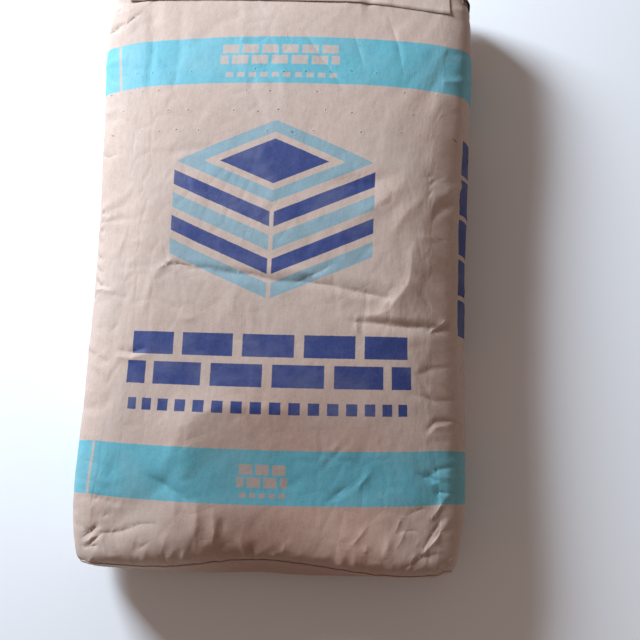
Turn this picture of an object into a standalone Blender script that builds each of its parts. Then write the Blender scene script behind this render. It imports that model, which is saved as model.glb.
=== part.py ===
"""A filled block-end cement sack, lying flat on its back panel.

The sack is a pasted paper tube whose two ends are folded into flat rectangles.  It lies with its length along Y,
the printed front panel up, and the valve end at +Y.  Three thin paper pieces are pasted on it: a cover sheet on
each folded end, and the end of the valve sleeve, turned down over the right-hand side panel at the valve end.
All sizes are in metres.
"""

import math

import bmesh
import bpy
from mathutils import Vector

# Driving dimensions of the filled sack
SACK_LENGTH = 0.600
WAIST_WIDTH = 0.372
SHOULDER_FLARE = 0.017
END_TAPER = 0.030
TAPER_START = 0.72
WIDEST_LINE_HEIGHT = 0.047
BELLY_RISE = 0.057
END_RISE = 0.037
BELLY_DROP = 0.056
END_DROP = 0.035
BELLY_ROUNDNESS = 3.6
END_ROUNDNESS = 4.6
END_EDGE_RADIUS = 0.005
END_BULGE = 0.004

# Paper pieces pasted on the sack
SHEET_THICKNESS = 0.0006
SHEET_GAP = 0.0004
COVER_SPAN = 0.975
COVER_BACK_MARGIN = 0.010
FOOT_COVER_FRONT_MARGIN = 0.005
TOP_COVER_LAP = 0.028
VALVE_SLEEVE_THICKNESS = 0.0012
VALVE_SLEEVE_LENGTH = 0.018
VALVE_SLEEVE_SPAN = 0.78

# How finely the box that becomes the sack is cut
CUTS_ACROSS = 24
CUTS_ALONG = 28
CUTS_DEEP = 10
EDGE_STEPS = 3

KRAFT = (0.56, 0.40, 0.31, 1.0)
COVER_KRAFT = (0.62, 0.46, 0.36, 1.0)
SLEEVE_KRAFT = (0.36, 0.24, 0.17, 1.0)

HALF_LENGTH = SACK_LENGTH / 2 - END_BULGE
PANEL_END = HALF_LENGTH - END_EDGE_RADIUS


def clear_scene():
    """Empties the scene this file is opened in."""
    for obj in list(bpy.data.objects):
        bpy.data.objects.remove(obj)


def paper(name, colour):
    """A matt uncoated paper."""
    material = bpy.data.materials.new(name)
    material.use_nodes = True
    shader = material.node_tree.nodes["Principled BSDF"]
    shader.inputs["Base Color"].default_value = colour
    shader.inputs["Roughness"].default_value = 0.85
    shader.inputs["Metallic"].default_value = 0.0
    return material


def towards_end(station, middle, end, steepness):
    """A size that goes from its middle value to its end value; station is 0 at the middle and 1 at an end."""
    return middle + (end - middle) * station**steepness


def section(y):
    """Half width, rise above and drop below the widest line, and roundness of the cross-section at y."""
    station = min(abs(y) / HALF_LENGTH, 1.0)
    taper = max(station - TAPER_START, 0.0) / (1 - TAPER_START)
    width = WAIST_WIDTH + SHOULDER_FLARE * station**2 - END_TAPER * taper**2
    rise = towards_end(station, BELLY_RISE, END_RISE, 2.6)
    drop = towards_end(station, BELLY_DROP, END_DROP, 4.2)
    roundness = towards_end(station, BELLY_ROUNDNESS, END_ROUNDNESS, 3.0)
    return width / 2, rise, drop, roundness


def end_edge_inset(y):
    """How far the section shrinks where the sack turns over its end edges."""
    reach = min(max(abs(y) - PANEL_END, 0.0) / END_EDGE_RADIUS, 1.0)
    return END_EDGE_RADIUS * (1 - math.sqrt(1 - reach * reach))


def sack_point(box_x, y, box_z):
    """Where a point of the box lands on the sack.  box_x and box_z run from -1 to 1 over the section."""
    half_width, rise, drop, roundness = section(y)
    inset = end_edge_inset(y)
    rim = max(abs(box_x), abs(box_z))
    squeeze = 1.0
    if rim > 0:
        squeeze = rim / (abs(box_x) ** roundness + abs(box_z) ** roundness) ** (1 / roundness)
    half_depth = rise if box_z > 0 else drop
    x = (half_width - inset) * squeeze * box_x
    z = (half_depth - inset) * squeeze * box_z
    if abs(y) == HALF_LENGTH:
        y += math.copysign(END_BULGE, y) * (1 - box_x**4) * (1 - box_z**4)
    return Vector((x, y, max(z + WIDEST_LINE_HEIGHT, 0.0)))


def box_height(margin, half_depth):
    """Box height of a line on a folded end that keeps a margin from the edge above or below it."""
    return 1 - margin / (half_depth - END_EDGE_RADIUS)


def length_stations():
    """Where the box is cut along Y: evenly on the panels, closely over the end edges, and at the sheets' edges."""
    even = [-PANEL_END + 2 * PANEL_END * i / CUTS_ALONG for i in range(CUTS_ALONG + 1)]
    turns = [PANEL_END + END_EDGE_RADIUS * math.sin(math.pi / 2 * i / EDGE_STEPS) for i in range(1, EDGE_STEPS)]
    return even + turns + [-y for y in turns] + [HALF_LENGTH - TOP_COVER_LAP, HALF_LENGTH - VALVE_SLEEVE_LENGTH]


def across_stations():
    """Where the box is cut across its width, in box units."""
    return [-1 + 2 * i / CUTS_ACROSS for i in range(1, CUTS_ACROSS)] + [-COVER_SPAN, COVER_SPAN]


def height_stations():
    """Where the box is cut over its depth, in box units."""
    even = [-1 + 2 * i / CUTS_DEEP for i in range(1, CUTS_DEEP)]
    return even + [-VALVE_SLEEVE_SPAN, VALVE_SLEEVE_SPAN, cover_bottom(), foot_cover_top()]


def cover_bottom():
    """Box height of the lower edge of both cover sheets."""
    return -box_height(COVER_BACK_MARGIN, END_DROP)


def foot_cover_top():
    """Box height of the upper edge of the foot cover sheet."""
    return box_height(FOOT_COVER_FRONT_MARGIN, END_RISE)


def box_mesh():
    """A box cut into the grid that the sack and its sheets are shaped from."""
    box = bmesh.new()
    bmesh.ops.create_cube(box, size=2.0)
    for vertex in box.verts:
        vertex.co.y *= HALF_LENGTH
    planes = [((0, y, 0), (0, 1, 0)) for y in length_stations()]
    planes += [((x, 0, 0), (1, 0, 0)) for x in across_stations()]
    planes += [((0, 0, z), (0, 0, 1)) for z in height_stations()]
    for place, normal in planes:
        geometry = box.verts[:] + box.edges[:] + box.faces[:]
        bmesh.ops.bisect_plane(box, geom=geometry, dist=1e-5, plane_co=place, plane_no=normal)
    return box


def shape(mesh):
    """Moves every point of a box mesh onto the sack."""
    for vertex in mesh.verts:
        x, y, z = vertex.co
        if abs(y) > HALF_LENGTH - 1e-6:
            y = math.copysign(HALF_LENGTH, y)
        vertex.co = sack_point(x, y, z)
    mesh.normal_update()


def finish(mesh, name, material):
    """Turns a bmesh into a named object that is shaded smooth except over sharp edges."""
    bmesh.ops.recalc_face_normals(mesh, faces=mesh.faces[:])
    data = bpy.data.meshes.new(name)
    mesh.to_mesh(data)
    mesh.free()
    data.shade_smooth()
    data.set_sharp_from_angle(angle=math.radians(50))
    data.materials.append(material)
    obj = bpy.data.objects.new(name, data)
    bpy.context.scene.collection.objects.link(obj)


def make_sack(material):
    """The filled paper tube with its two folded ends."""
    mesh = box_mesh()
    shape(mesh)
    finish(mesh, "sack", material)


def make_sheet(name, material, belongs, thickness=SHEET_THICKNESS):
    """A sheet pasted on the sack: the faces of the box that belong to it, lifted off and given a thickness."""
    mesh = box_mesh()
    spare = [face for face in mesh.faces if not belongs(face.calc_center_median(), face.normal)]
    bmesh.ops.delete(mesh, geom=spare, context="FACES")
    shape(mesh)
    inner = mesh.verts[:]
    lifts = [vertex.normal.copy() for vertex in inner]
    copies = bmesh.ops.duplicate(mesh, geom=mesh.faces[:])["vert_map"]
    lower = [copies[vertex] for vertex in inner]
    for vertex, under, lift in zip(inner, lower, lifts):
        under.co += lift * SHEET_GAP
        vertex.co += lift * (SHEET_GAP + thickness)
    rims = [edge for edge in mesh.edges if edge.is_boundary]
    bmesh.ops.bridge_loops(mesh, edges=rims)
    finish(mesh, name, material)


def on_top_cover(centre, normal):
    """The top cover sheet lies on the valve end and laps over onto the front panel."""
    on_end = normal.y > 0.5 and centre.z > cover_bottom()
    on_lap = normal.z > 0.5 and centre.y > HALF_LENGTH - TOP_COVER_LAP
    return (on_end or on_lap) and abs(centre.x) < COVER_SPAN


def on_foot_cover(centre, normal):
    """The foot cover sheet keeps to the foot end."""
    on_end = normal.y < -0.5 and cover_bottom() < centre.z < foot_cover_top()
    return on_end and abs(centre.x) < COVER_SPAN


def on_valve_sleeve(centre, normal):
    """The end of the valve sleeve lies on the right-hand side panel, next to the valve end."""
    on_side = normal.x > 0.5 and centre.y > HALF_LENGTH - VALVE_SLEEVE_LENGTH
    return on_side and abs(centre.z) < VALVE_SLEEVE_SPAN


def build():
    """Builds the sack and the paper pieces pasted on it."""
    clear_scene()
    cover = paper("cover_paper", COVER_KRAFT)
    make_sack(paper("kraft_paper", KRAFT))
    make_sheet("top_cover_sheet", cover, on_top_cover)
    make_sheet("foot_cover_sheet", cover, on_foot_cover)
    make_sheet("valve_sleeve", paper("sleeve_paper", SLEEVE_KRAFT), on_valve_sleeve, VALVE_SLEEVE_THICKNESS)


build()
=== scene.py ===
"""The looks of a filled paper cement sack that lies on its back panel.

Run as a script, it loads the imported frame, builds each piece with one of the operators below and sets up
the stage.  Sizes are in metres, but for the lists of folds and swells.  The empty sack is a plain box.
Filling and creasing change its shape, but every point of the paper keeps its place on that box, its "box
place".  Unrolled from the middle of the front panel, the same point has two paper coordinates: u across the
sack and v along it.  Prints, folds and pasted sheets are all placed with them.
"""

import contextlib
import math
import random

import bmesh
import bpy
import numpy as np
from bpy.props import FloatProperty, FloatVectorProperty, IntProperty, PointerProperty
from mathutils import Matrix, Vector
from mathutils.bvhtree import BVHTree
from mathutils.interpolate import poly_3d_calc


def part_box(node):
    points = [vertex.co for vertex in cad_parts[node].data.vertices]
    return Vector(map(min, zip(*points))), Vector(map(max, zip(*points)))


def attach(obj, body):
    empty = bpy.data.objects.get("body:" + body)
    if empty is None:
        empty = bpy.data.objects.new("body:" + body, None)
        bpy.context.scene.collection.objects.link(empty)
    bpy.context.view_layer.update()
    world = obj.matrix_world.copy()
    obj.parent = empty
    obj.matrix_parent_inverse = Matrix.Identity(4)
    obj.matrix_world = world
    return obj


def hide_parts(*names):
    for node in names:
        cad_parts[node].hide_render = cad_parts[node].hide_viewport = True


bl_info = {
    "name": "Cement sack",
    "version": (1, 0, 0),
    "blender": (4, 5, 0),
    "location": "3D View > Sidebar > Sack",
    "description": "Builds a filled paper cement sack and a stage to look at it on",
    "category": "Add Mesh",
}

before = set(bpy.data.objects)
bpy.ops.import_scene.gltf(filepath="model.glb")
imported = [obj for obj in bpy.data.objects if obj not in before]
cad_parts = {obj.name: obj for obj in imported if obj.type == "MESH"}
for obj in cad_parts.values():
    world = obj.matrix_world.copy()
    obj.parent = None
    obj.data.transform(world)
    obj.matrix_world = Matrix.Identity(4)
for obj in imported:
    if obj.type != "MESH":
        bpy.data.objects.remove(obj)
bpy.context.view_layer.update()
SACK_LOW, SACK_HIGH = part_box("sack")
SACK_SIZE = SACK_HIGH - SACK_LOW

SACK_NAME = "filled_sack"
PAPER_UV = "paper"
BOX_PLACE = "box_place"
CREASE = "crease"

# How much smaller than the filled sack the folded box is, in width, length and depth
SWELLING = Vector((0.023, 0.006, 0.021))

# How the box is swollen at mid length before the simulation starts
START_WIDENING = 0.006
START_DEEPENING = 0.010
START_LIFT = 0.006
START_SHORTENING = 0.005
MIDDLE_ROUNDNESS = 3.8
END_ROUNDNESS = 7.0

# How far the points of the empty box lie off an even grid, as a share of its cells
UNEVENNESS = 0.3

# The gap that the simulation keeps between paper and floor, from either side
CLEARANCE = 0.001

# Folds at least this steep get smaller triangles, up to a limit from their path; narrow ones get them twice
STEEP = 0.12
STEEP_SHARE = 0.6
STEEP_LIMIT = 0.006
NARROW_REACH = 0.005
NARROW_LIMIT = 0.0026

# A fold's height that counts as fully creased, the power of its fall to both sides, and how far into its sine
# shaped rise along the path it starts
FULL_CREASE = 0.002
FOLD_FALL = 1.6
FOLD_START = 0.12

# How far a point goes towards the middle of its neighbours in each round of rounding off
ROUNDING = 0.6

# The pasted pieces: their thickness, the glue under them, the size of their cells, and what of the folded end
# stays bare at the back edge and beside them
COVER_THICKNESS = 0.0005
PLY_THICKNESS = 0.0003
GLUE = 0.0003
COVER_CELL = 0.0032
PLY_CELL = 0.003
COVER_MARGIN = 0.008
COVER_INSET = 0.001

# The lap of the top cover sheet: its depth, what it gains towards the right, evenly and in one soft step, and
# the strip along its edge that stands off the sack a little
LAP = 0.0265
LAP_SLANT = 0.0045
LAP_STEP = 0.0065
LAP_STEP_START = 0.06
LAP_STEP_WIDTH = 0.12
LOOSE_EDGE = 0.012
LOOSE_EDGE_LIFT = 0.0014

# The valve sleeve: half its width as a share of the depth, the lengths of its plies, the inner one first, and
# how far the outer one stands off and curls
SLEEVE_SHARE = 0.39
PLY_LENGTHS = (0.022, 0.018)
PLY_GAP = 0.0004
PLY_CURL = 0.0020

# The stage: a soft light at the upper left of the camera's view, a warm room and a pale floor
LIGHT_PLACE = Vector((-1.11, 1.03, 0.88))
LIGHT_AIM = Vector((0, 0.05, 0.05))
LIGHT_SIZE = 0.6
LIGHT_COLOUR = (0.735, 0.86, 1.0)
SKY_COLOUR = (1.0, 0.80, 0.72, 1.0)
FLOOR_COLOUR = (0.86, 0.86, 0.86, 1.0)
FLOOR_ROUGHNESS = 0.9
FLOOR_SIZE = 8.0

# The soft edge of every print, the colours of powder and of a needle hole, how much the painted shade round
# the foot darkens paper, and the paper's weak sheen
SOFT_EDGE = 0.0005
DUST = (0.50, 0.46, 0.43)
HOLE = (0.05, 0.03, 0.02)
PAINTED_FOOT_SHADE_DARKENING = -0.14
SHEEN = 0.35


def in_metres(value):
    """A number, or a nest of tuples of numbers, turned from millimetres into metres."""
    if isinstance(value, tuple):
        return tuple(in_metres(part) for part in value)
    return round(value / 1000, 6)


# Folds that the photographed sack shows, in millimetres: a path of (u, v) points, a height (below 0 for a
# valley) and how far the fold reaches on both sides of its path, or on its left and its right side
FOLDS = in_metres((
    # The long crease across the middle, from the left edge through a pinch to the right
    (((-181, -13), (-151, -14), (-127, -13), (-115, -13)), -0.6, 5),
    (((-111, -16), (-104, -12), (-98, -7)), 1.1, (5, 4)),
    (((-108, 5), (-105, 0), (-102, -5)), -0.8, 4),
    (((-99, -12), (-89, -11), (-78, -13)), -1.4, (3.5, 7)),
    (((-86, -16), (-62, -14), (-45, -18), (-19, -20), (4, -26), (32, -26)), -1.9, (6, 11)),
    (((22, -28), (33, -22), (45, -16), (56, -8)), -1, (6, 5)),
    (((32, -26), (43, -28), (56, -29)), -1.2, (5, 8)),
    (((56, -29), (71, -33), (89, -36), (114, -40)), -2.8, (12, 7)),
    (((-14, -12), (22, -17), (50, -19)), 1.2, (16, 10)),
    (((107, -50), (111, -45), (115, -41)), 0.8, 8),
    (((-114, -18), (-122, -38), (-129, -60)), 1.2, 12),
    (((-31, -28), (-36, -46), (-42, -64)), 1, 12),
    (((-86, -60), (-78, -66), (-72, -64)), 0.8, 6),
    (((-12, -50), (-8, -78)), -0.7, 8),
    # The deep crease below it at the right, with its pinch at the edge
    (((80, -64), (92, -64), (109, -65), (129, -66), (150, -66), (180, -65)), -3.8, (8, 13)),
    (((140, 5), (140, -11), (136, -26), (119, -44), (113, -52), (100, -57), (81, -60)), 2.1, (30, 12)),
    (((81, -75), (80, -68), (80, -60)), 0.9, (3, 6)),
    (((178, -69), (183, -65), (187, -57)), 1.5, (4, 3)),
    (((180, -71), (185, -65), (190, -59)), -1.7, (3, 4)),
    # Drapes and sharp wrinkles towards the right edge
    (((168, 76), (180, 82), (184, 87)), -0.8, 6),
    (((178, 41), (186, 56), (201, 70)), -1.8, (9, 6)),
    (((185, 67), (195, 78), (216, 90)), 1.6, 8),
    (((184, 57), (191, 71), (212, 83)), -1, 6),
    (((116, 27), (133, 47), (155, 62)), 1.1, 14),
    (((118, 24), (122, 31), (127, 39)), 0.5, 5),
    (((71, 35), (101, 55), (126, 75)), 1.5, 18),
    (((52, 72), (85, 73), (118, 84)), -1.3, 13),
    (((104, 12), (90, 8), (80, -4)), -0.5, 6),
    (((70, -5), (62, 17), (67, 29)), 0.9, 8),
    (((180, 20), (186, 23), (194, 22)), -0.7, 5),
    (((142, -131), (181, -136), (206, -130)), -1.2, 7),
    (((150, -112), (203, -99)), -1, 7),
    (((166, -162), (177, -156), (187, -154), (207, -158)), -1.4, (4.5, 12)),
    (((159, -172), (183, -167), (198, -166)), 0.5, 8),
    # Puckers along the left edge
    (((-162, -95), (-139, -98), (-122, -94)), -1.2, (5, 7)),
    (((-165, -102), (-139, -104), (-118, -100)), 1.1, 6),
    (((-208, -91), (-190, -99), (-181, -106)), -1.6, 6),
    (((-196, -36), (-197, -6), (-196, 25), (-196, 57)), -0.7, 4),
    (((-205, 58), (-199, 48), (-189, 43)), -1.3, 4),
    (((-203, 38), (-204, 32), (-191, 26)), -1.3, 4),
    (((-206, 5), (-196, 0), (-189, -3)), -1.4, 4),
    (((-206, -5), (-196, -14), (-187, -18)), -1.4, 4),
    (((-205, -19), (-195, -28), (-187, -32)), -1.8, 5),
    (((-200, -32), (-189, -33), (-182, -37)), 1, 4),
    (((-186, 37), (-175, 36), (-145, 36), (-129, 42)), -0.5, 7),
    (((-171, 9), (-144, 12), (-130, 13)), 0.5, 5),
    (((-206, 112), (-192, 104), (-184, 106)), -1.1, 5),
    # The head end
    (((-197, 241), (-188, 243), (-181, 248)), -3, 5),
    (((-179, 246), (-164, 254), (-151, 260)), -1.2, 4),
    (((-189, 262), (-182, 266), (-167, 269)), -0.9, 4),
    (((-192, 279), (-178, 272), (-152, 275)), -1.8, 6),
    (((-140, 266), (-132, 216), (-137, 176)), -0.9, 10),
    (((-124, 266), (-119, 226)), 0.6, 9),
    (((-104, 266), (-101, 216), (-107, 172)), -0.8, 10),
    (((-41, 262), (-40, 227), (-33, 172)), 0.8, 9),
    (((19, 235), (36, 207), (51, 185), (58, 172)), -0.8, (5, 9)),
    (((66, 234), (71, 218), (77, 198)), -0.8, (5, 7)),
    (((-109, 102), (-89, 106), (-65, 109)), -0.8, 8),
    (((-57, 98), (-40, 94), (-19, 90)), -0.6, 6),
    (((99, 256), (111, 220), (118, 190)), -0.8, (5, 8)),
    (((-2, 206), (5, 145)), 0.8, 10),
    (((186, 294), (188, 217), (189, 173), (190, 120)), 0.7, 10),
    # The dent at the lower left and the soft ridges that run from it to the foot
    (((-88, -200), (-78, -172), (-64, -157), (-40, -149), (35, -150)), 3.4, (34, 46)),
    (((-77, -135), (-71, -182), (-73, -210), (-68, -235), (-58, -285)), 2.2, 50),
    (((-107, -215), (-91, -222), (-77, -230), (-66, -237)), -1.7, (8, 12)),
    (((-78, -258), (-79, -248), (-79, -237)), 0.9, (12, 7)),
    (((-61, -277), (-59, -259), (-59, -241)), 1.8, (10, 7)),
    (((-46, -282), (-43, -267), (-44, -251)), 1.4, (7, 8)),
    (((-35, -265), (-37, -252)), -1.3, (6, 10)),
    (((-15, -303), (-17, -284), (-20, -271)), 1.6, (6, 7)),
    (((-8, -300), (-9, -277)), -1.2, 6),
    (((-91, -298), (-90, -282)), -1, 5),
    (((45, -206), (55, -194), (66, -182), (74, -174)), 0.5, 5),
    (((49, -206), (61, -194), (70, -182), (77, -173)), -0.5, 5),
    (((56, -205), (62, -196), (71, -186)), 0.4, 5),
    (((59, -234), (66, -227), (74, -220)), -1.3, (8, 6)),
    (((82, -223), (90, -213), (96, -206)), 0.9, 6),
    (((20, -222), (28, -218), (34, -213)), -0.9, 8),
    (((95, -281), (95, -273)), 0.8, 4),
    # The left corner of the foot
    (((-184, -275), (-179, -269), (-163, -263)), -2.2, (4, 5)),
    (((-181, -281), (-170, -276), (-157, -270)), -1.8, 4),
    (((-163, -269), (-145, -269), (-131, -267), (-111, -260), (-97, -259)), -1.2, (4, 7)),
    (((-191, -259), (-182, -266)), -1.5, 4),
    (((-154, -254), (-148, -251), (-142, -249)), -0.9, 4),
    (((-186, -285), (-179, -282), (-164, -281)), -1.4, 4),
    (((-183, -278), (-175, -274), (-161, -272)), 1, 4),
    (((-189, -236), (-164, -238), (-129, -242)), -0.8, 6),
    (((-115, -283), (-103, -276)), -0.7, 5),
    # The right corner of the foot
    (((145, -206), (165, -209), (182, -213)), -1, (5, 6)),
    (((169, -222), (179, -222), (184, -223)), -1.3, 4),
    (((161, -248), (169, -242), (179, -234), (182, -225)), 1.7, (9, 3.5)),
    (((155, -274), (161, -265), (169, -257), (180, -247)), -1.2, (5, 4.5)),
    (((153, -279), (162, -273), (172, -265), (180, -257), (182, -248)), 1.3, (4.5, 6)),
    (((168, -265), (182, -257), (187, -251)), -1, 6),
    (((123, -260), (139, -259), (156, -257)), -0.5, 4),
    (((121, -260), (124, -251), (130, -244)), 0.7, (4, 3.5)),
    (((124, -274), (128, -266), (130, -260)), 0.6, 4),
    (((133, -244), (143, -240), (158, -236)), -0.6, 4),
    (((176, -299), (184, -286), (190, -277)), -1, 4),
    (((130, -302), (135, -292), (144, -288), (153, -283), (164, -281), (177, -279)), -1.4, (5, 9)),
    (((97, -285), (111, -288), (124, -293)), -0.9, 7),
    (((79, -277), (87, -267), (94, -256)), 0.8, 5),
    (((184, -180), (183, -225), (182, -262)), 1.2, 9),
))

# Broad swells and hollows of the front panel, in millimetres: the place (u, v) of the middle, the reach along
# u and v, and the height
SWELLS = in_metres((
    ((20, -215), (120, 80), -5),
    ((0, -300), (90, 62), -5.5),
    ((10, -255), (100, 75), -2),
    ((-40, -310), (150, 42), -3),
    ((-100, -290), (75, 55), 3),
    ((135, -290), (75, 55), 4.5),
    ((120, -236), (50, 40), 1.4),
    ((100, -52), (60, 22), -1.6),
    ((-120, 30), (60, 80), 1.2),
    ((150, 130), (50, 90), -1.2),
    ((10, -120), (80, 40), 1.2),
))


def deselect_all():
    """Leaves nothing selected, so that the next operator acts only on what it adds."""
    if bpy.context.object and bpy.context.object.mode != "OBJECT":
        bpy.ops.object.mode_set(mode="OBJECT")
    bpy.ops.object.select_all(action="DESELECT")


def make_active(obj):
    """Selects one object alone."""
    deselect_all()
    obj.select_set(True)
    bpy.context.view_layer.objects.active = obj


@contextlib.contextmanager
def editing(obj):
    """Edit mode on one object, for as long as the block lasts."""
    make_active(obj)
    bpy.ops.object.mode_set(mode="EDIT")
    yield
    bpy.ops.object.mode_set(mode="OBJECT")


def cut_into_triangles():
    """In edit mode, cuts every face into triangles."""
    bpy.ops.mesh.select_all(action="SELECT")
    bpy.ops.mesh.quads_convert_to_tris(quad_method="BEAUTY", ngon_method="BEAUTY")


def read_rows(items, field):
    """One row of x, y and z for each of a mesh's points or faces."""
    values = np.empty(len(items) * 3)
    items.foreach_get(field, values)
    return values.reshape(-1, 3)


def read_points(mesh):
    """Where the mesh's points are."""
    return read_rows(mesh.vertices, "co")


def read_normals(mesh):
    """The smooth normals at the mesh's points."""
    return read_rows(mesh.vertices, "normal")


def read_places(mesh):
    """The box places of the mesh's points."""
    return read_rows(mesh.attributes[BOX_PLACE].data, "vector")


def write_points(mesh, points):
    """Moves the mesh's points."""
    mesh.vertices.foreach_set("co", np.ravel(points))
    mesh.update()


def write_attribute(mesh, name, kind, field, values):
    """Stores one value for each point of the mesh."""
    attribute = mesh.attributes.get(name) or mesh.attributes.new(name, kind, "POINT")
    attribute.data.foreach_set(field, np.ravel(values))


def half_sizes(shape):
    """Half the width, length and depth of the folded box."""
    return shape.width / 2, shape.length / 2, shape.depth / 2


def unroll(places, normals, shape):
    """Paper coordinates of box places, given the box faces' normals there."""
    half_width, half_length, half_depth = half_sizes(shape)
    x, y, z = places.T
    over_front_edge = half_depth - z
    across = np.where(x >= 0, 1.0, -1.0)
    u = x.copy()
    v = y.copy()
    side = np.abs(normals[:, 0]) > 0.5
    back = normals[:, 2] < -0.5
    end = np.abs(normals[:, 1]) > 0.5
    u[side] = np.sign(normals[side, 0]) * (half_width + over_front_edge[side])
    u[back] = across[back] * (2 * half_width + 2 * half_depth - np.abs(x[back]))
    v[end] = np.sign(normals[end, 1]) * (half_length + over_front_edge[end])
    return u, v


def a_length(name, description, default):
    """A length that a user may change."""
    return FloatProperty(name=name, description=description, default=default, unit="LENGTH")


def a_share(name, description, default):
    """A part of a whole, from 0 to 1."""
    return FloatProperty(name=name, description=description, default=default, subtype="FACTOR")


def an_angle(name, description, degrees):
    """An angle, given here in degrees."""
    return FloatProperty(name=name, description=description, default=math.radians(degrees), subtype="ANGLE")


def a_number(name, description, default):
    """A plain number."""
    return FloatProperty(name=name, description=description, default=default)


def a_colour(name, description, default):
    """A colour."""
    return FloatVectorProperty(name=name, description=description, default=default, subtype="COLOR")


class SackShape(bpy.types.PropertyGroup):
    """Sizes of the folded box, and how it is filled."""

    width: a_length("Width", "Width of the empty box at mid length", SACK_SIZE.x - SWELLING.x)
    length: a_length("Length", "Length of the empty box", SACK_SIZE.y - SWELLING.y)
    depth: a_length("Depth", "Depth of the empty box at mid length", SACK_SIZE.z - SWELLING.z)
    shoulder_flare: a_length("Shoulder flare", "How much wider and flatter the tube is at its ends", 0.018)
    end_taper: a_length("End taper", "How much the folded ends draw the sack in", 0.016)
    taper_start: a_share("Taper start", "Share of the half length at which the end taper starts", 0.72)
    foot_skew: a_length("Foot skew", "How far the foot edge runs out of square", 0.002)
    grid: a_length("Grid", "Size of the simulated triangles", 0.006)
    frames: IntProperty(name="Frames", description="Length of the filling simulation", default=30)
    paper_mass: a_number("Paper and fill mass", "Mass that each square metre of the wall carries, in kg", 7.0)
    stiffness: a_number("Stiffness", "How firmly the paper keeps its lengths", 60.0)
    bending: a_number("Bending", "How firmly the paper keeps its creases", 0.02)
    fill_pressure: a_number("Fill pressure", "Even pressure of the powder on the paper", 1.1)
    fill_density: a_number("Fill density", "Pressure that grows with depth, as under a heavy powder", 0.6)
    top_slack: a_share("Top slack", "Share of the pressure missing at the valve end", 0.2)
    seed: IntProperty(name="Seed", description="Seed of the uneven grid and the scattered creases", default=3)


class SackPrint(bpy.types.PropertyGroup):
    """Colours of the papers and inks, and where the print stands."""

    kraft: a_colour("Kraft", "Colour of the sack's paper", (0.500, 0.368, 0.299))
    cover: a_colour("Cover sheets", "Colour of the pasted cover sheets", (0.540, 0.402, 0.329))
    # Dark brown: the sleeve's own paper, made darker as painted shade of the pocket at the valve corner
    sleeve: a_colour("Valve sleeve", "Colour of the valve sleeve", (0.25, 0.155, 0.105))
    # Painted shade: the kraft turns to this browner colour round the middle of the foot
    painted_foot_shade: a_colour("Painted foot shade", "Colour of the kraft paper round the foot", (0.455, 0.270, 0.200))
    band_ink: a_colour("Band ink", "Colour of the two bands", (0.105, 0.370, 0.432))
    dark_ink: a_colour("Dark ink", "Colour of the dark motifs", (0.022, 0.040, 0.160))
    pale_ink: a_colour("Pale ink", "Colour of the pale parts of the motif", (0.21, 0.32, 0.355))
    band_width: a_length("Band width", "Width of both bands", 0.0515)
    upper_band: a_length("Upper band", "Centre line of the band near the valve end", 0.2035)
    lower_band: a_length("Lower band", "Centre line of the band near the foot", -0.2140)


class SackStage(bpy.types.PropertyGroup):
    """Camera and light."""

    aim: FloatVectorProperty(
        name="Aim", description="Point that the camera looks at",
        default=(0.0436, -0.0532, 0.05), subtype="TRANSLATION",
    )
    distance: a_length("Distance", "From the camera to that point", 1.190)
    elevation: an_angle("Elevation", "Height angle of the camera", 78.0)
    azimuth: an_angle("Azimuth", "Turn of the camera round the sack from its foot side", 21.9)
    roll: an_angle("Roll", "Turn of the camera about its own line of sight", -20.1)
    lens: a_number("Lens", "Focal length on a 36 mm sensor, in mm", 67.5)
    key_power: a_number("Key light", "Power of the soft light at the upper left, in W", 64.0)
    sky: a_number("Sky", "Strength of the even light all round", 0.25)


def select_edges_along(mesh, axis):
    """In edit mode, selects the edges that run along an axis and no others."""
    work = bmesh.from_edit_mesh(mesh)
    for edge in work.edges:
        run = edge.verts[1].co - edge.verts[0].co
        edge.select_set(abs(run[axis]) > 0.99 * run.length)
    bmesh.update_edit_mesh(mesh)


def select_points(mesh, chosen):
    """In edit mode, selects the chosen points and the edges and faces between them."""
    bpy.ops.mesh.select_mode(type="VERT")
    bpy.ops.mesh.select_all(action="DESELECT")
    work = bmesh.from_edit_mesh(mesh)
    for vertex, wanted in zip(work.verts, chosen):
        vertex.select_set(bool(wanted))
    work.select_flush(True)
    bmesh.update_edit_mesh(mesh)


def folded_box(shape):
    """The empty sack: a box cut into small triangles that lie unevenly in its faces."""
    deselect_all()
    size = Vector((shape.width, shape.length, shape.depth))
    bpy.ops.mesh.primitive_cube_add(size=1.0, scale=size)
    sack = bpy.context.object
    sack.name = SACK_NAME
    bpy.ops.object.transform_apply(location=False, rotation=False, scale=True)
    with editing(sack):
        bpy.ops.mesh.select_mode(type="EDGE")
        for axis in range(3):
            select_edges_along(sack.data, axis)
            bpy.ops.mesh.subdivide(number_cuts=round(size[axis] / shape.grid) - 1)
    half = np.array(size) / 2
    points = read_points(sack.data)
    inside = np.abs(np.abs(points) - half) > 1e-5
    shifts = np.random.default_rng(shape.seed).uniform(-UNEVENNESS, UNEVENNESS, points.shape) * shape.grid
    points += shifts * inside
    write_points(sack.data, points)
    with editing(sack):
        cut_into_triangles()
    return sack


def lay_out_paper(mesh, shape):
    """Gives each face corner its paper coordinates, while the mesh still has the folded box's shape."""
    layer = mesh.uv_layers.get(PAPER_UV) or mesh.uv_layers.new(name=PAPER_UV)
    places = read_points(mesh)
    corner_points = np.empty(len(mesh.loops), dtype=int)
    mesh.loops.foreach_get("vertex_index", corner_points)
    corner_counts = np.empty(len(mesh.polygons), dtype=int)
    mesh.polygons.foreach_get("loop_total", corner_counts)
    corner_normals = np.repeat(read_rows(mesh.polygons, "normal"), corner_counts, axis=0)
    u, v = unroll(places[corner_points], corner_normals, shape)
    layer.data.foreach_set("uv", np.stack([u, v], axis=1).ravel())


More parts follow.
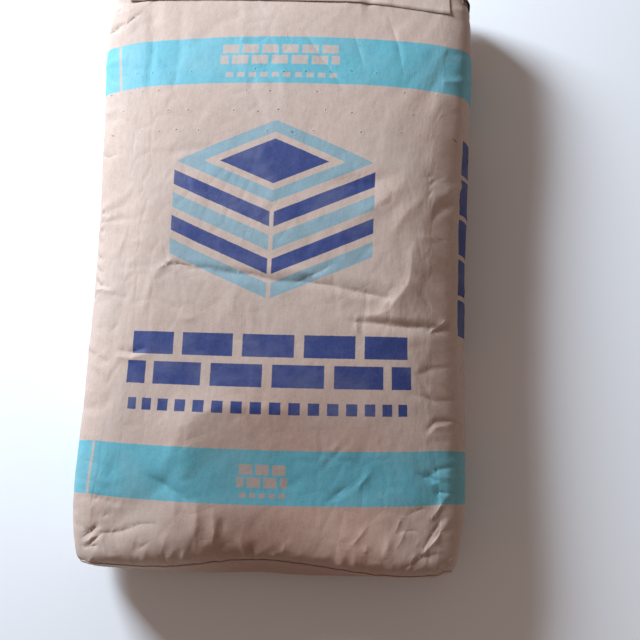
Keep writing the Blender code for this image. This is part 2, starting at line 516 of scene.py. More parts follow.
def tube_shape(places, shape, rounding):
    """The box drawn to the tube's true widths; rounding from 0 to 1 swells it towards its filled form."""
    across, along, deep = (places / half_sizes(shape)).T
    station = np.abs(along)
    flare = shape.shoulder_flare * station**2
    taper = shape.end_taper * np.clip((station - shape.taper_start) / (1 - shape.taper_start), 0, 1) ** 2
    skew = shape.foot_skew * across * np.clip(-along, 0, 1) ** 4
    half_width = (shape.width + flare - taper) / 2 + rounding * START_WIDENING * (1 - station**6)
    half_depth = (shape.depth - flare) / 2 + rounding * START_DEEPENING * (1 - station**3)
    roundness = END_ROUNDNESS - (END_ROUNDNESS - MIDDLE_ROUNDNESS) * (1 - station**3)
    rim = np.maximum(np.abs(across), np.abs(deep))
    size = (np.abs(across) ** roundness + np.abs(deep) ** roundness) ** (1 / roundness)
    squeeze = 1 + rounding * (np.where(size > 0, rim / np.maximum(size, 1e-9), 1.0) - 1)
    x = half_width * squeeze * across
    y = places[:, 1] * (1 - START_SHORTENING * rounding) + skew
    z = half_depth * squeeze * deep + shape.depth / 2 + rounding * START_LIFT
    return np.stack([x, y, z], axis=1)


def floor_to_fill_on():
    """The plane that the sack lies on while it is filled."""
    deselect_all()
    bpy.ops.mesh.primitive_plane_add(size=3.0)
    floor = bpy.context.object
    floor.modifiers.new("Collision", "COLLISION")
    floor.collision.thickness_outer = CLEARANCE
    floor.collision.cloth_friction = 20
    return floor


def make_cloth(sack, shape, rest):
    """Turns the sack into cloth as firm as paper, with the powder's pressure inside."""
    pressed = sack.vertex_groups.new(name="pressed")
    for index, along in enumerate(read_places(sack.data)[:, 1] / shape.length + 0.5):
        pressed.add([index], 1 - shape.top_slack * along, "REPLACE")
    cloth = sack.modifiers.new("Cloth", "CLOTH")
    paper = cloth.settings
    paper.rest_shape_key = rest
    paper.quality = 6
    wall = 2 * (shape.width + shape.depth) * shape.length + 2 * shape.width * shape.depth
    paper.mass = shape.paper_mass * wall / len(sack.data.vertices)
    for strain in ("tension", "compression", "shear"):
        setattr(paper, f"{strain}_stiffness", shape.stiffness)
        setattr(paper, f"{strain}_damping", 5)
    paper.bending_model = "ANGULAR"
    paper.bending_stiffness = shape.bending
    paper.bending_damping = 0.5
    paper.air_damping = 2.0
    paper.use_pressure = True
    paper.uniform_pressure_force = shape.fill_pressure
    paper.fluid_density = shape.fill_density
    paper.vertex_group_pressure = pressed.name
    cloth.collision_settings.distance_min = CLEARANCE
    cloth.collision_settings.collision_quality = 2
    cloth.collision_settings.use_self_collision = False
    cloth.point_cache.frame_start = 1
    cloth.point_cache.frame_end = shape.frames


def fill_sack(sack, shape):
    """Fills the box by a cloth simulation on a floor and keeps its last frame as the sack's mesh."""
    places = read_places(sack.data)
    start = tube_shape(places, shape, 1.0)
    sack.shape_key_add(name="Basis")
    rest = sack.shape_key_add(name="empty tube")
    sack.data.shape_keys.key_blocks["Basis"].data.foreach_set("co", start.ravel())
    rest.data.foreach_set("co", tube_shape(places, shape, 0.0).ravel())
    write_points(sack.data, start)
    floor = floor_to_fill_on()
    make_cloth(sack, shape, rest)
    scene = bpy.context.scene
    scene.frame_start = 1
    scene.frame_end = shape.frames
    for number in range(1, shape.frames + 1):
        scene.frame_set(number)
    make_active(sack)
    bpy.ops.object.convert(target="MESH")
    bpy.data.objects.remove(floor)
    sack.vertex_groups.clear()
    points = read_points(sack.data)
    points[:, 2] -= points[:, 2].min()
    write_points(sack.data, points)


def even_out_ends(sack, shape):
    """Takes the small dents out of the two folded ends, which are stiff with paste."""
    on_end = np.abs(read_places(sack.data)[:, 1]) > shape.length / 2 - 1e-5
    with editing(sack):
        select_points(sack.data, on_end)
        bpy.ops.mesh.vertices_smooth(factor=0.5, repeat=4)


def near_path(u, v, path):
    """How far every point is from a path, how far along it, and 1 on its left to -1 on its right."""
    best = np.full(len(u), np.inf)
    share = np.zeros(len(u))
    side = np.zeros(len(u))
    knots = np.array(path)
    runs = np.linalg.norm(np.diff(knots, axis=0), axis=1)
    done = 0.0
    for start, end, run in zip(knots[:-1], knots[1:], runs):
        direction = (end - start) / run
        along = np.clip((u - start[0]) * direction[0] + (v - start[1]) * direction[1], 0, run)
        off_left = (v - start[1]) * direction[0] - (u - start[0]) * direction[1]
        distance = np.hypot(u - start[0] - along * direction[0], v - start[1] - along * direction[1])
        closer = distance < best
        best[closer] = distance[closer]
        share[closer] = (done + along[closer]) / runs.sum()
        side[closer] = (off_left / np.maximum(distance, 1e-6))[closer]
        done += run
    return best, share, np.clip(side, -1, 1)


def fold_reach(reach, side):
    """How far a fold reaches on the side of its path that each point is on."""
    left, right = reach if isinstance(reach, tuple) else (reach, reach)
    return (left + right) / 2 + (left - right) / 2 * side


def short_path(u, v, slope, reach):
    """A straight path through a point of the paper, at an angle to the u axis."""
    du, dv = reach * math.cos(slope), reach * math.sin(slope)
    return (u - du, v - dv), (u + du, v + dv)


def scattered_folds(shape):
    """Small random creases over the long edges and sides, over the ends, on the front and at corners."""
    dice = random.Random(shape.seed)
    half_width, half_length, _ = half_sizes(shape)
    upright = math.pi / 2
    folds = []

    def add(u, v, slope, half_runs, heights, reaches):
        path = short_path(u, v, slope, dice.uniform(*half_runs))
        height = dice.choice((-1, 1)) * dice.uniform(*heights)
        folds.append((path, height, dice.uniform(*reaches)))

    for side in (-1, 1):
        for _ in range(76):
            u = side * (half_width + dice.uniform(-0.018, shape.depth * 0.95))
            v = dice.uniform(-0.96, 0.96) * half_length
            calm = 0.2 if v > 0.09 and abs(u) < half_width + 0.012 else 1.0
            heights = (0.0003 * calm, 0.0010 * calm)
            add(u, v, dice.gauss(0, 0.5), (0.006, 0.024), heights, (0.0045, 0.0085))
    for end in (-1, 1):
        for _ in range(42):
            u = dice.uniform(-0.98, 0.98) * half_width
            v = end * (half_length - dice.uniform(-0.004, 0.024))
            calm = 0.3 if end < 0 and u > 0.65 * half_width else 1.0
            heights = (0.0004 * calm, 0.0012 * calm)
            add(u, v, dice.gauss(upright, 0.4), (0.006, 0.016), heights, (0.005, 0.009))
    for _ in range(120):
        u = dice.uniform(-0.97, 0.97) * half_width
        v = dice.uniform(-0.97, 0.97) * half_length
        slope = dice.gauss(0, 0.4) if abs(u) / half_width > 0.7 else dice.gauss(upright, 0.6)
        add(u, v, slope, (0.008, 0.032), (0.00015, 0.00050), (0.006, 0.015))
    for side, end, lean, count in ((-1, -1, 0.45, 34), (1, -1, 1.05, 14), (-1, 1, 0.6, 18)):
        for _ in range(count):
            u = side * (half_width - dice.uniform(-0.014, 0.055))
            v = end * (half_length - dice.uniform(-0.004, 0.060))
            add(u, v, dice.gauss(lean, 0.35), (0.003, 0.009), (0.0002, 0.0005), (0.0030, 0.0045))
    return folds


def end_flap_ridges(shape):
    """Ridges of the flaps folded under each cover sheet: a line across, and a diagonal from each corner."""
    half_width, half_length, middle = half_sizes(shape)
    margin = 0.003
    overrun = 0.004
    diagonals = ((half_length + margin, 0.0014), (half_length + shape.depth - margin, 0.0013))
    ridges = []
    for end in (-1, 1):
        knot = half_length + middle
        for side in (-1, 1):
            inner = (side * (half_width - middle), end * knot)
            for v, height in diagonals:
                corner = (side * (half_width - margin), end * v)
                ridges.append(((corner, inner), height, 0.007))
        left = (-half_width + middle - overrun, end * (knot + 0.006))
        right = (half_width - middle + overrun, end * (knot + 0.009))
        ridges.append(((left, right), 0.0016, 0.008))
    return ridges


def paper_places(sack, shape):
    """Paper coordinates of the mesh's points."""
    places = read_places(sack.data)
    normals = np.zeros_like(places)
    faces = np.argmax(np.abs(places) - half_sizes(shape), axis=1)
    rows = np.arange(len(places))
    normals[rows, faces] = np.sign(places[rows, faces])
    return unroll(places, normals, shape)


def near_folds(sack, shape, folds, limit):
    """Which points lie on the steep part of a fold, up to a limit from its path."""
    u, v = paper_places(sack, shape)
    near = np.zeros(len(u), dtype=bool)
    for path, height, reach in folds:
        if abs(height) / np.min(reach) > STEEP:
            distance, _, side = near_path(u, v, path)
            near |= distance < np.minimum(STEEP_SHARE * fold_reach(reach, side), limit)
    return near


def round_off(mesh, rounds):
    """Moves each point towards the middle of its neighbours, but only along its normal."""
    edges = np.empty(len(mesh.edges) * 2, dtype=int)
    mesh.edges.foreach_get("vertices", edges)
    first, second = edges.reshape(-1, 2).T
    counts = np.bincount(edges, minlength=len(mesh.vertices))
    for _ in range(rounds):
        points = read_points(mesh)
        normals = read_normals(mesh)
        sums = [
            np.bincount(first, points[second, axis], len(points))
            + np.bincount(second, points[first, axis], len(points))
            for axis in range(3)
        ]
        pull = np.stack(sums, axis=1) / counts[:, None] - points
        along = (pull * normals).sum(axis=1, keepdims=True)
        write_points(mesh, points + ROUNDING * along * normals)


def refine(sack, chosen):
    """Cuts each triangle between the chosen points into four, and rounds the paper off."""
    with editing(sack):
        select_points(sack.data, chosen)
        bpy.ops.mesh.subdivide(number_cuts=1, quadcorner="INNERVERT")
        cut_into_triangles()
    round_off(sack.data, 2)


def crease_paper(sack, shape, folds):
    """Presses the folds into the filled sack."""
    u, v = paper_places(sack, shape)
    lift = np.zeros(len(u))
    for path, height, reach in folds:
        distance, share, side = near_path(u, v, path)
        fade = np.sin(np.pi * np.clip(FOLD_START + (1 - 2 * FOLD_START) * share, 0, 1))
        lift += height * fade * np.clip(1 - distance / fold_reach(reach, side), 0, None) ** FOLD_FALL
    # The folds' heights are kept for the material, which paints shade in their valleys and highlight on their
    # ridges
    write_attribute(sack.data, CREASE, "FLOAT", "value", np.clip(lift / FULL_CREASE, -1, 1))
    for (middle_u, middle_v), (reach_u, reach_v), height in SWELLS:
        distance = np.hypot((u - middle_u) / reach_u, (v - middle_v) / reach_v)
        lift += height * np.clip(1 - distance**2, 0, None) ** 2
    points = read_points(sack.data) + read_normals(sack.data) * lift[:, None]
    points[:, 2] = np.maximum(points[:, 2], 0.0)
    write_points(sack.data, points)


def feed(node, inputs):
    """Gives inputs of a node their values: a field or a socket is linked, a number or a colour is set."""
    for key, value in inputs.items():
        if isinstance(value, Field):
            value = value.socket
        if isinstance(value, bpy.types.NodeSocket):
            node.id_data.links.new(value, node.inputs[key])
        else:
            node.inputs[key].default_value = value


class Field:
    """A number that varies over a surface.  Arithmetic on fields adds Math nodes to the material."""

    def __init__(self, tree, socket):
        self.tree = tree
        self.socket = socket

    def node(self, operation, *others, clamp=False):
        """The result of a Math node whose first input is this field."""
        node = self.tree.nodes.new("ShaderNodeMath")
        node.operation = operation
        node.use_clamp = clamp
        feed(node, dict(enumerate((self, *others))))
        return Field(self.tree, node.outputs[0])

    def __add__(self, other):
        return self.node("ADD", other)

    def __sub__(self, other):
        return self.node("SUBTRACT", other)

    def __mul__(self, other):
        return self.node("MULTIPLY", other)

    def __truediv__(self, other):
        return self.node("DIVIDE", other)

    def __abs__(self):
        return self.node("ABSOLUTE")

    def inverse(self):
        """One minus the field."""
        return (self * -1.0) + 1.0

    def fraction(self):
        """What is left over a whole number."""
        return self.node("FRACT")

    def over(self, edge, softness):
        """1 where the field is above the edge and 0 where it is below, with a soft step between."""
        return ((self - edge) / softness).node("ADD", 0.5, clamp=True)

    def between(self, low, high, softness=SOFT_EDGE):
        """1 between two values."""
        return self.over(low, softness) * self.over(high, softness).inverse()


class Paper:
    """A material for paper, with the paper coordinates, noises and colours that its makers share."""

    def __init__(self, name):
        self.material = bpy.data.materials.new(name)
        self.material.use_nodes = True
        self.tree = self.material.node_tree
        self.shader = self.tree.nodes["Principled BSDF"]
        source = self.tree.nodes.new("ShaderNodeUVMap")
        source.uv_map = PAPER_UV
        self.place = source.outputs[0]
        split = self.tree.nodes.new("ShaderNodeSeparateXYZ")
        feed(split, {0: self.place})
        self.u = Field(self.tree, split.outputs[0])
        self.v = Field(self.tree, split.outputs[1])

    def texture(self, kind, scale, **inputs):
        """A texture over the paper; its features come out about 1 / scale wide."""
        mapping = self.tree.nodes.new("ShaderNodeMapping")
        feed(mapping, {"Scale": (*scale, 1.0), "Vector": self.place})
        node = self.tree.nodes.new(kind)
        feed(node, {"Vector": mapping.outputs[0], "Scale": 1.0, **inputs})
        return node

    def noise(self, scale, detail=2.0, roughness=0.5):
        """A cloudy field from 0 to 1."""
        node = self.texture("ShaderNodeTexNoise", scale, Detail=detail, Roughness=roughness)
        node.noise_dimensions = "2D"
        return Field(self.tree, node.outputs[0])

    def cells(self, scale):
        """The distance to the nearest edge of a random net of cells."""
        node = self.texture("ShaderNodeTexVoronoi", scale)
        node.voronoi_dimensions = "2D"
        node.feature = "DISTANCE_TO_EDGE"
        return Field(self.tree, node.outputs["Distance"])

    def attribute(self, name):
        """A value stored at the points of the mesh."""
        node = self.tree.nodes.new("ShaderNodeAttribute")
        node.attribute_name = name
        return Field(self.tree, node.outputs["Fac"])

    def blend(self, base, colour, share):
        """A colour laid over another; both may be a socket or three numbers."""
        node = self.tree.nodes.new("ShaderNodeMix")
        node.data_type = "RGBA"
        base, colour = ((*value, 1.0) if isinstance(value, tuple) else value for value in (base, colour))
        feed(node, {"Factor": share, "A": base, "B": colour})
        return node.outputs["Result"]

    def shade(self, colour, value):
        """A colour made lighter or darker by a field around 1."""
        node = self.tree.nodes.new("ShaderNodeVectorMath")
        node.operation = "SCALE"
        feed(node, {0: colour, "Scale": value})
        return node.outputs[0]

    def finish(self, colour, roughness, height):
        """Connects the colour, the roughness and the height of the relief in metres."""
        bump = self.tree.nodes.new("ShaderNodeBump")
        feed(bump, {"Strength": 1.0, "Distance": 1.0, "Height": height})
        feed(self.shader, {"Normal": bump.outputs[0], "Base Color": colour, "Roughness": roughness})
        feed(self.shader, {"Specular IOR Level": SHEEN})
        return self.material


def fibre_tone(paper):
    """Brightness of kraft paper around 1: broad clouds, long fibres and a few dark specks."""
    clouds = paper.noise((11.0, 9.0), detail=4.0, roughness=0.55)
    flow = paper.noise((300.0, 110.0), detail=3.0, roughness=0.6)
    fibres = paper.noise((1500.0, 420.0), detail=2.0)
    specks = paper.noise((520.0, 470.0), detail=1.0).over(0.70, 0.08)
    tone = clouds * 0.16 + flow * 0.20 + fibres * 0.14 + 0.75
    return tone - specks * 0.12


def paper_relief(paper):
    """Height of the paper's own surface: fibres, small cockles and the fine crumples left by handling."""
    fibres = paper.noise((1500.0, 600.0), detail=3.0)
    cockles = paper.noise((46.0, 34.0), detail=2.0, roughness=0.4)
    grain = paper.noise((210.0, 160.0), detail=2.0, roughness=0.5)
    crumples = paper.cells((44.0, 36.0)).node("MINIMUM", 0.2)
    calm = paper.u.over(0.08, 0.06) * paper.v.over(0.08, 0.05)
    where = paper.noise((11.0, 11.0), detail=1.0).over(0.54, 0.20) * (calm * -0.9 + 1.0)
    return fibres * 0.00004 + cockles * 0.0008 + grain * 0.00012 + crumples * where * 0.0013


def dust(paper, share):
    """Clouds of pale powder on the paper."""
    return paper.noise((14.0, 17.0), detail=5.0, roughness=0.65).over(0.60, 0.35) * share


def painted_foot_shade_share(paper):
    """Share of the painted shade, browner and darker, round the middle of the sack's foot."""
    across = (paper.u - 0.04) / 0.145
    along = (paper.v + 0.32) / 0.24
    near = (across * across + along * along).inverse().node("MAXIMUM", 0.0)
    return near * (paper.noise((9.0, 13.0), detail=3.0) * 0.8 + 0.65)


def brick_course(u, v, left, right, bottom, height, pitch, joint, shift=0.0):
    """A row of bricks, cut off flush at both ends."""
    brick = ((u - left + shift) / pitch).fraction() * pitch
    row = v.between(bottom, bottom + height)
    return brick.between(joint / 2, pitch - joint / 2) * row * u.between(left, right)


def brick_wall(u, v, left, right, bottoms, height, pitch, joint):
    """Courses of bricks; every second one starts with half a brick."""
    courses = [
        brick_course(u, v, left, right, bottom, height, pitch, joint, number % 2 * pitch / 2)
        for number, bottom in enumerate(bottoms)
    ]
    return sum(courses[1:], courses[0])


def board_stack(u, v):
    """The emblem: a stack of boards seen from a corner, in turns dark and pale.  Gives the two inks."""
    half_width = 0.0975
    slope = 0.45
    top_height = 2 * half_width * slope
    pitch = 0.0237
    board = 0.0155
    joint = 0.004
    across = abs(u)
    fall = across * slope
    up = v - fall
    rise = v + fall
    width = across.between(-1.0, half_width)

    def diamond(low, margin):
        """The top seen from the corner, less a margin above and below."""
        return up.over(low, SOFT_EDGE) * rise.over(top_height - margin, SOFT_EDGE).inverse()

    lid = diamond(joint / 2, 0.0) * width
    hollow = diamond(0.0145, 0.0125)
    core = diamond(0.0215, 0.0195)
    layer = (fall - v) / pitch
    boards = (layer.fraction() * pitch).between(pitch - board, pitch - 0.0003)
    boards = boards * layer.between(0.0, 4.0) * width * across.over(joint / 2, SOFT_EDGE)
    odd = (layer.node("FLOOR") * 0.5).fraction() * 2.0
    pale = lid * hollow.inverse() + boards * odd
    dark = lid * core + boards * odd.inverse()
    return dark, pale


def printed(paper, inks):
    """Where the inks lie: the two bands, the dark ink and the pale ink."""
    wander = paper.noise((260.0, 260.0), detail=1.0) - 0.5
    u = paper.u + wander * 0.0004
    bow = (paper.u / 0.179).node("POWER", 2.0).node("MINIMUM", 2.0) * 0.028 + 1.0
    v = paper.v * bow + wander * 0.0004
    half = inks.band_width / 2
    upper = v.between(inks.upper_band - half, inks.upper_band + half)
    lower = v.between(inks.lower_band - half, inks.lower_band + half)
    spared = [
        brick_wall(u, v, -0.060, 0.054, bottoms=(0.2110, 0.1990), height=0.0095, pitch=0.0190, joint=0.0035),
        brick_wall(u, v, -0.056, 0.054, bottoms=(0.1845,), height=0.0050, pitch=0.0110, joint=0.0040),
        brick_wall(
            u, v, -0.0245, 0.0205, bottoms=(-0.2115, -0.2235), height=0.0095, pitch=0.0150, joint=0.0032
        ),
        brick_wall(u, v, -0.0235, 0.0205, bottoms=(-0.2330,), height=0.0045, pitch=0.0088, joint=0.0036),
        u.between(-0.1826, -0.1810),
    ]
    bare = sum(spared[1:], spared[0]).node("MINIMUM", 1.0)
    bands = (upper + lower) * (bare * -0.86 + 1.0)
    dark, pale = board_stack(u + 0.003, v - 0.0502)
    walls = [
        brick_wall(
            u, v, -0.142, 0.141, bottoms=(-0.1005, -0.1295), height=0.0220, pitch=0.0566, joint=0.0090
        ),
        brick_wall(u, v, -0.140, 0.138, bottoms=(-0.1550,), height=0.0115, pitch=0.0174, joint=0.0070),
        brick_wall(v, u, -0.075, 0.136, bottoms=(0.1985, 0.2235), height=0.0200, pitch=0.0422, joint=0.0050),
    ]
    return bands, sum(walls, dark), pale


def perforations(paper):
    """Needle holes that let the air out: their dark cores, and the raised rims round them."""
    pitch = 0.0222
    row_pitch = 0.0215
    first_row = 0.1265
    row_count = 4.0
    radius = 0.0006
    rim_start = 0.0008
    rim_end = 0.0026
    row = (paper.v - first_row) / row_pitch + 0.5
    shift = (row.node("FLOOR") * 0.5).fraction()
    wobble = paper.noise((90.0, 70.0), detail=0.0) - 0.5
    du = ((paper.u / pitch + shift).fraction() - 0.5) * pitch + wobble * 0.008
    dv = (row.fraction() - 0.5) * row_pitch - wobble * 0.006
    distance = (du * du + dv * dv).node("SQRT")
    rows = row.between(0.0, row_count)
    drawn = paper.noise((61.0, 83.0), detail=0.0).over(0.46, 0.2)
    core = distance.over(radius, radius).inverse() * rows * drawn
    rim = distance.between(rim_start, rim_end, 0.001) * rows * drawn
    return core, rim


def sack_material(inks):
    """Kraft paper with its print, needle holes, seam and powder, with painted shade and highlight along the
    folds and painted shade round the middle of the foot.
    """
    paper = Paper("printed_kraft")
    tone = fibre_tone(paper)
    coverage = paper.noise((500.0, 400.0), detail=2.0) * 0.14 + 0.90
    bands, dark, pale = printed(paper, inks)
    crease = paper.attribute(CREASE)
    core, rim = perforations(paper)
    # Painted shade: the kraft is browner and darker round the middle of the foot
    painted_foot_shade = painted_foot_shade_share(paper)
    colour = paper.blend(tuple(inks.kraft), tuple(inks.painted_foot_shade), painted_foot_shade)
    colour = paper.blend(colour, tuple(inks.band_ink), bands * coverage)
    colour = paper.blend(colour, tuple(inks.pale_ink), pale * coverage)
    colour = paper.blend(colour, tuple(inks.dark_ink), dark * (coverage * 0.5 + 0.5))
    # Painted shade in the folds' valleys and painted highlight on their ridges, up to 5 % of the tone
    colour = paper.shade(colour, (tone + crease * 0.05) * (painted_foot_shade * PAINTED_FOOT_SHADE_DARKENING + 1.0))
    colour = paper.blend(colour, DUST, dust(paper, 0.16))
    colour = paper.blend(colour, HOLE, core * 0.6)
    inked = (bands + dark + pale).node("MINIMUM", 1.0)
    roughness = inked * -0.16 + tone * 0.05 + 0.74
    seam = paper.u.between(-0.1835, -0.140, 0.0012) * paper.u.over(-0.145, 0.03).inverse() * 0.00022
    height = paper_relief(paper) + seam + rim * 0.00010 - core * 0.0003
    return paper.finish(colour, roughness, height)


def sheet_material(name, colour, painted_foot_shade_colour):
    """Plain kraft paper for the pasted pieces, with powder and the painted shade round the middle of the
    foot.
    """
    paper = Paper(name)
    tone = fibre_tone(paper)
    # Painted shade: browner and darker round the middle of the foot, as on the sack
    painted_foot_shade = painted_foot_shade_share(paper)
    with_painted_foot_shade = paper.blend(tuple(colour), tuple(painted_foot_shade_colour), painted_foot_shade)
    shaded = paper.shade(with_painted_foot_shade, tone * (painted_foot_shade * PAINTED_FOOT_SHADE_DARKENING + 1.0))
    dusted = paper.blend(shaded, DUST, dust(paper, 0.14))
    return paper.finish(dusted, tone * 0.05 + 0.76, paper_relief(paper))


def smooth_and_dress(obj, material, node):
    """Shades a piece smooth, gives it its material and ties it to the frame."""
    make_active(obj)
    bpy.ops.object.shade_smooth()
    obj.data.materials.clear()
    obj.data.materials.append(material)
    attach(obj, "root")
    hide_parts(node)


class SackFinder:
    """Finds where a point on or near the folded box lies on the filled sack."""

    def __init__(self, sack):
        mesh = sack.data
        self.places = [Vector(place) for place in read_places(mesh)]
        self.points = read_points(mesh)
        self.normals = read_normals(mesh)
        self.faces = [tuple(face.vertices) for face in mesh.polygons]
        self.tree = BVHTree.FromPolygons(self.places, self.faces)

    def carry(self, point, lift):
        """The filled sack's place for a box place, raised off the paper by a lift."""
        spot, _, index, _ = self.tree.find_nearest(point)
        corners = self.faces[index]
        weights = poly_3d_calc([self.places[corner] for corner in corners], spot)
        place = sum(weight * self.points[corner] for weight, corner in zip(weights, corners))
        normal = sum(weight * self.normals[corner] for weight, corner in zip(weights, corners))
        return place + lift * normal / np.linalg.norm(normal)


def flat_grid(name, size, cell, corner, right, up):
    """A flat grid of paper as its outer side shows it, from a corner to the right and up by its two sizes."""
    deselect_all()
    right, up = Vector(right), Vector(up)
    bpy.ops.mesh.primitive_grid_add(
        size=1.0,
        x_subdivisions=round(size[0] / cell),
        y_subdivisions=round(size[1] / cell),
        location=Vector(corner) + right * size[0] / 2 + up * size[1] / 2,
        rotation=Matrix((right, up, right.cross(up))).transposed().to_euler(),
    )
    sheet = bpy.context.object
    sheet.name = name
    sheet.scale = (*size, 1.0)
    bpy.ops.object.transform_apply(location=True, rotation=True, scale=True)
    return sheet


def join(pieces):
    """Makes one piece of several; the first keeps its name."""
    make_active(pieces[0])
    for piece in pieces[1:]:
        piece.select_set(True)
    bpy.ops.object.join()
    return pieces[0]


def weld(sheet):
    """Joins the points of grids that meet at an edge."""
    with editing(sheet):
        bpy.ops.mesh.select_all(action="SELECT")
        bpy.ops.mesh.remove_doubles(threshold=0.0001)


def paste(sheet, finder, shape, lift, thickness):
    """Lays a sheet that is modelled round the folded box onto the filled sack and gives it its thickness."""
    lay_out_paper(sheet.data, shape)
    points = [finder.carry(Vector(point), lift(point)) for point in read_points(sheet.data)]
    write_points(sheet.data, np.array(points))
    solid = sheet.modifiers.new("Thickness", "SOLIDIFY")
    solid.thickness = thickness
    solid.offset = 1.0
    make_active(sheet)
    bpy.ops.object.modifier_apply(modifier=solid.name)
    return sheet


def lap_length(shape, x):
    """How far the top cover sheet laps over onto the front panel, x to the right of its middle."""
    step = min(max((x - LAP_STEP_START) / LAP_STEP_WIDTH, 0.0), 1.0)
    return LAP + LAP_SLANT * x / (shape.width / 2) + LAP_STEP * step * step * (3 - 2 * step)


def top_cover(shape, finder):
    """The sheet on the valve end with its lap."""
    half_width, half_length, half_depth = half_sizes(shape)
    left = -half_width + 3 * COVER_INSET
    span = 2 * half_width - 2 * COVER_INSET
    end = flat_grid(
        "top_cover_paper", (span, 2 * half_depth - COVER_MARGIN), COVER_CELL,
        (left + span, half_length, -half_depth + COVER_MARGIN), (-1, 0, 0), (0, 0, 1),
    )
    front = flat_grid(
        "lap", (span, LAP), COVER_CELL, (left, half_length - LAP, half_depth), (1, 0, 0), (0, 1, 0),
    )
    for vertex in front.data.vertices:
        from_fold = (half_length - vertex.co.y) / LAP
        vertex.co.y = half_length - from_fold * lap_length(shape, vertex.co.x)
    sheet = join([end, front])
    weld(sheet)

    def lift(point):
        from_edge = point[1] - half_length + lap_length(shape, point[0])
        edge = max(1 - from_edge / LOOSE_EDGE, 0.0) if point[2] > half_depth - 1e-4 else 0.0
        wave = 0.55 + 0.45 * math.sin(point[0] * 31 + 1.1) * math.sin(point[0] * 17 - 0.4)
        return GLUE + LOOSE_EDGE_LIFT * wave * edge**2

    return paste(sheet, finder, shape, lift, COVER_THICKNESS)


def foot_cover(shape, finder):
    """The sheet on the foot end."""
    half_width, half_length, half_depth = half_sizes(shape)
    foot = flat_grid(
        "foot_cover_paper", (2 * half_width - 2 * COVER_INSET, 2 * half_depth - 2 * COVER_MARGIN), COVER_CELL,
        (-half_width + COVER_INSET, -half_length, -half_depth + COVER_MARGIN), (1, 0, 0), (0, 0, 1),
    )
    return paste(foot, finder, shape, lambda point: GLUE, COVER_THICKNESS)


def sleeve_ply(shape, finder, number):
    """One ply of the valve sleeve's end; the outer one stands off more and more towards its free edge."""
    half_width, half_length, _ = half_sizes(shape)
    half_span = shape.depth * SLEEVE_SHARE
    length = PLY_LENGTHS[number]
    ply = flat_grid(
        f"sleeve_ply_{number}", (length, 2 * half_span), PLY_CELL,
        (half_width, half_length - length, -half_span), (0, 1, 0), (0, 0, 1),
    )

    def lift(point):
        edge = np.clip((half_length - point[1]) / length, 0, 1)
        return GLUE + number * (PLY_GAP + PLY_CURL * edge**2)

    return paste(ply, finder, shape, lift, PLY_THICKNESS)


def matt_floor():
    """The pale floor that takes the sack's shadow."""
    deselect_all()
    bpy.ops.mesh.primitive_plane_add(size=FLOOR_SIZE)
    floor = bpy.context.object
    floor.name = "floor"
    pale = bpy.data.materials.new("pale_floor")
    pale.use_nodes = True
    feed(pale.node_tree.nodes["Principled BSDF"], {"Base Color": FLOOR_COLOUR, "Roughness": FLOOR_ROUGHNESS})
    floor.data.materials.append(pale)


def soft_light(settings):
    """The light of the room, and a soft light from the upper left."""
    world = bpy.data.worlds.new("soft_room")
    bpy.context.scene.world = world
    world.use_nodes = True
    feed(world.node_tree.nodes["Background"], {"Color": SKY_COLOUR, "Strength": settings.sky})
    bpy.ops.object.light_add(type="AREA", location=LIGHT_PLACE)
    key = bpy.context.object
    key.name = "key_light"
    key.data.energy = settings.key_power
    key.data.size = LIGHT_SIZE
    key.data.color = LIGHT_COLOUR
    key.rotation_euler = (LIGHT_AIM - LIGHT_PLACE).to_track_quat("-Z", "Y").to_euler()


def photo_camera(settings):
    """The camera, where the photograph was taken from."""
    flat = math.cos(settings.elevation)
    back = Vector((
        math.sin(settings.azimuth) * flat,
        -math.cos(settings.azimuth) * flat,
        math.sin(settings.elevation),
    ))
    level = Vector((0, 0, 1)).cross(back).normalized()
    rise = back.cross(level)
    right = math.cos(settings.roll) * level + math.sin(settings.roll) * rise
    up = back.cross(right)
    bpy.ops.object.camera_add()
    camera = bpy.context.object
    camera.name = "camera"
    camera.matrix_world = Matrix((right, up, back)).transposed().to_4x4()
    camera.location = Vector(settings.aim) + back * settings.distance
    camera.data.lens = settings.lens
    camera.data.sensor_width = 36.0
    bpy.context.scene.camera = camera


class SACK_OT_fill(bpy.types.Operator):
    """Builds the filled and creased paper sack with its print"""

    bl_idname = "sack.fill"
    bl_label = "Filled sack"

    def execute(self, context):
        shape = context.scene.sack_shape
        sack = folded_box(shape)
        lay_out_paper(sack.data, shape)
        write_attribute(sack.data, BOX_PLACE, "FLOAT_VECTOR", "vector", read_points(sack.data))
        fill_sack(sack, shape)
        even_out_ends(sack, shape)
        folds = (*FOLDS, *scattered_folds(shape), *end_flap_ridges(shape))
        refine(sack, read_places(sack.data)[:, 2] > -shape.depth / 2 + 1e-5)
        refine(sack, near_folds(sack, shape, folds, STEEP_LIMIT))
        narrow = [fold for fold in FOLDS if np.min(fold[2]) <= NARROW_REACH]
        refine(sack, near_folds(sack, shape, narrow, NARROW_LIMIT))
        crease_paper(sack, shape, folds)
        smooth_and_dress(sack, sack_material(context.scene.sack_print), "sack")
        return {"FINISHED"}


class SACK_OT_cover_sheets(bpy.types.Operator):
    """Pastes a cover sheet on each folded end; the one at the valve end laps over onto the front panel"""

    bl_idname = "sack.cover_sheets"
    bl_label = "Cover sheets"

    def execute(self, context):
        shape = context.scene.sack_shape
        inks = context.scene.sack_print
        finder = SackFinder(bpy.data.objects[SACK_NAME])
        material = sheet_material("cover_kraft", inks.cover, inks.painted_foot_shade)
        smooth_and_dress(top_cover(shape, finder), material, "top_cover_sheet")
        smooth_and_dress(foot_cover(shape, finder), material, "foot_cover_sheet")
        return {"FINISHED"}


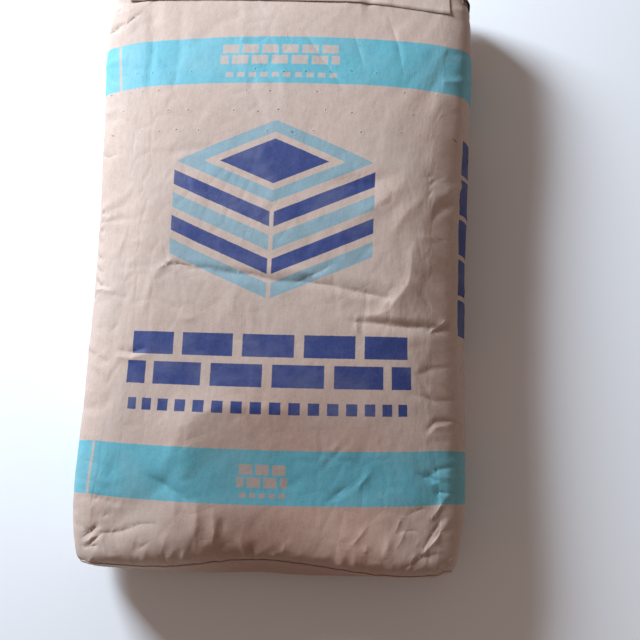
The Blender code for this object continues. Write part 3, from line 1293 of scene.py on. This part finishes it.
class SACK_OT_valve_sleeve(bpy.types.Operator):
    """Turns the end of the valve sleeve down over the side panel at the valve end"""

    bl_idname = "sack.valve_sleeve"
    bl_label = "Valve sleeve"

    def execute(self, context):
        shape = context.scene.sack_shape
        inks = context.scene.sack_print
        finder = SackFinder(bpy.data.objects[SACK_NAME])
        sleeve = join([sleeve_ply(shape, finder, number) for number in (0, 1)])
        sleeve.name = "valve_sleeve_paper"
        # The sleeve's dark colour is partly its paper and partly painted shade of the valve pocket
        material = sheet_material("sleeve_kraft", inks.sleeve, inks.painted_foot_shade)
        smooth_and_dress(sleeve, material, "valve_sleeve")
        return {"FINISHED"}


class SACK_OT_stage(bpy.types.Operator):
    """Adds the floor, the light and the camera"""

    bl_idname = "sack.stage"
    bl_label = "Stage"

    def execute(self, context):
        settings = context.scene.sack_stage
        matt_floor()
        soft_light(settings)
        photo_camera(settings)
        context.scene.view_settings.view_transform = "Standard"
        return {"FINISHED"}


PIECE_OPERATORS = (SACK_OT_fill, SACK_OT_cover_sheets, SACK_OT_valve_sleeve, SACK_OT_stage)


SETTINGS = {"sack_shape": SackShape, "sack_print": SackPrint, "sack_stage": SackStage}


class VIEW3D_PT_sack(bpy.types.Panel):
    """Lists the sack's operators and settings"""

    bl_label = "Cement sack"
    bl_space_type = "VIEW_3D"
    bl_region_type = "UI"
    bl_category = "Sack"

    def draw(self, context):
        column = self.layout.column()
        for operator in PIECE_OPERATORS:
            column.operator(operator.bl_idname)
        for group_name in SETTINGS:
            group = getattr(context.scene, group_name)
            for name in group.__annotations__:
                column.prop(group, name)


CLASSES = (*SETTINGS.values(), *PIECE_OPERATORS, VIEW3D_PT_sack)


def register():
    """Registers the classes and hangs their settings on the scene."""
    for cls in CLASSES:
        bpy.utils.register_class(cls)
    for name, group in SETTINGS.items():
        setattr(bpy.types.Scene, name, PointerProperty(type=group))


def unregister():
    """Takes the settings and the classes away again."""
    for name in SETTINGS:
        delattr(bpy.types.Scene, name)
    for cls in reversed(CLASSES):
        bpy.utils.unregister_class(cls)


def main():
    """Builds the whole sack and its stage."""
    register()
    bpy.ops.sack.fill()
    bpy.ops.sack.cover_sheets()
    bpy.ops.sack.valve_sleeve()
    bpy.ops.sack.stage()


if __name__ == "__main__":
    main()
